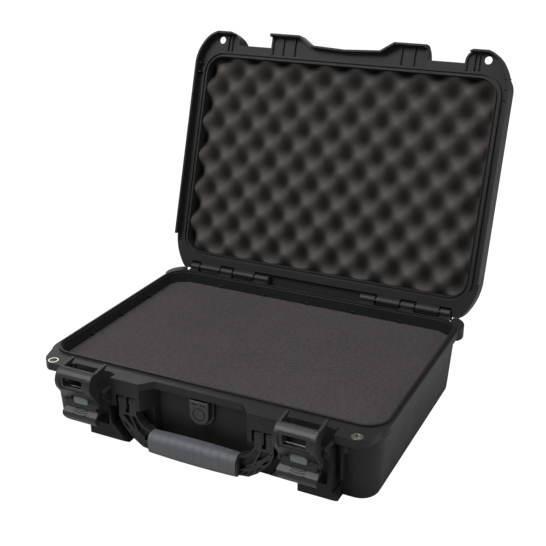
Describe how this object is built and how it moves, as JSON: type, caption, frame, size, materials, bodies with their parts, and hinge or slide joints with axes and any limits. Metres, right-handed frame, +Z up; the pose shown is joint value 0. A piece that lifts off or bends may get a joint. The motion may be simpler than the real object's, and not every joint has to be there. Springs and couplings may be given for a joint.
{
  "type": "hard equipment case",
  "caption": "Hard equipment case, standing open, with cubed base foam, egg-crate lid foam, a folding handle, claw latches and padlock corners.",
  "frame": {"origin": "centre of the resting face, below the middle of the cavity", "axes": "+X to the case's right, -Y to its front, +Z up"},
  "size_m": [0.4586, 0.5164, 0.4246],
  "materials": {
    "shell_resin": "moulded resin with a fine satin texture, charcoal black",
    "latch_resin": "glass-filled nylon, satin black",
    "button_resin": "moulded resin, pale blue grey, satin",
    "grip_rubber": "overmoulded soft rubber, blue grey",
    "pick_foam": "open-cell foam, charcoal grey, cubed",
    "crate_foam": "egg-crate open-cell foam, charcoal grey",
    "gasket_rubber": "soft sealing cord, black",
    "sleeve_metal": "bright nickel-plated steel",
    "pin_metal": "plain stainless steel",
    "vent_resin": "moulded resin, black",
    "membrane": "thin vent membrane, white"
  },
  "bodies": {
    "base": {"base_shell": "shell_resin", "base_padlock_sleeves": "sleeve_metal", "vent_body": "vent_resin", "vent_membrane": "membrane", "vent_retainer": "vent_resin", "hinge_pins": "pin_metal", "handle_pins": "pin_metal", "pick_foam_top": "pick_foam", "pick_foam_lower": "pick_foam", "base_foam_pad": "pick_foam", "left_claw_pin": "pin_metal", "right_claw_pin": "pin_metal"},
    "lid": {"lid_shell": "shell_resin", "lid_gasket": "gasket_rubber", "lid_foam": "crate_foam"},
    "handle": {"handle_frame": "latch_resin", "handle_grip": "grip_rubber"},
    "left_latch_claw": {"left_claw": "latch_resin", "left_lever_pins": "pin_metal"},
    "left_latch_lever": {"left_lever": "latch_resin", "left_button_spring": "pin_metal"},
    "left_latch_button": {"left_release_button": "button_resin"},
    "right_latch_claw": {"right_claw": "latch_resin", "right_lever_pins": "pin_metal"},
    "right_latch_lever": {"right_lever": "latch_resin", "right_button_spring": "pin_metal"},
    "right_latch_button": {"right_release_button": "button_resin"}
  },
  "joints": [
    {"name": "lid_hinge", "type": "hinge", "parent": "base", "child": "lid", "pos_m": [0, 0.1662, 0.0915], "axis": [1, 0, 0], "range_deg": [0, 107.5]},
    {"name": "handle_hinge", "type": "hinge", "parent": "base", "child": "handle", "pos_m": [0, -0.1648, 0.0615], "axis": [-1, 0, 0], "range_deg": [0, 95]},
    {"name": "left_claw_hinge", "type": "hinge", "parent": "base", "child": "left_latch_claw", "pos_m": [-0.1398, -0.1808, 0.07], "axis": [1, 0, 0], "range_deg": [-25, 25]},
    {"name": "left_lever_hinge", "type": "hinge", "parent": "left_latch_claw", "child": "left_latch_lever", "pos_m": [-0.1398, -0.1863, 0.0565], "axis": [-1, 0, 0], "range_deg": [0, 75]},
    {"name": "left_button_slide", "type": "slide", "parent": "left_latch_lever", "child": "left_latch_button", "axis": [0, 1, 0], "range_m": [0, 0.002], "stiffness_N_per_m": 400, "springref_m": -0.001},
    {"name": "right_claw_hinge", "type": "hinge", "parent": "base", "child": "right_latch_claw", "pos_m": [0.1398, -0.1808, 0.07], "axis": [1, 0, 0], "range_deg": [-25, 25]},
    {"name": "right_lever_hinge", "type": "hinge", "parent": "right_latch_claw", "child": "right_latch_lever", "pos_m": [0.1398, -0.1863, 0.0565], "axis": [-1, 0, 0], "range_deg": [0, 75]},
    {"name": "right_button_slide", "type": "slide", "parent": "right_latch_lever", "child": "right_latch_button", "axis": [0, 1, 0], "range_m": [0, 0.002], "stiffness_N_per_m": 400, "springref_m": -0.001}
  ]
}
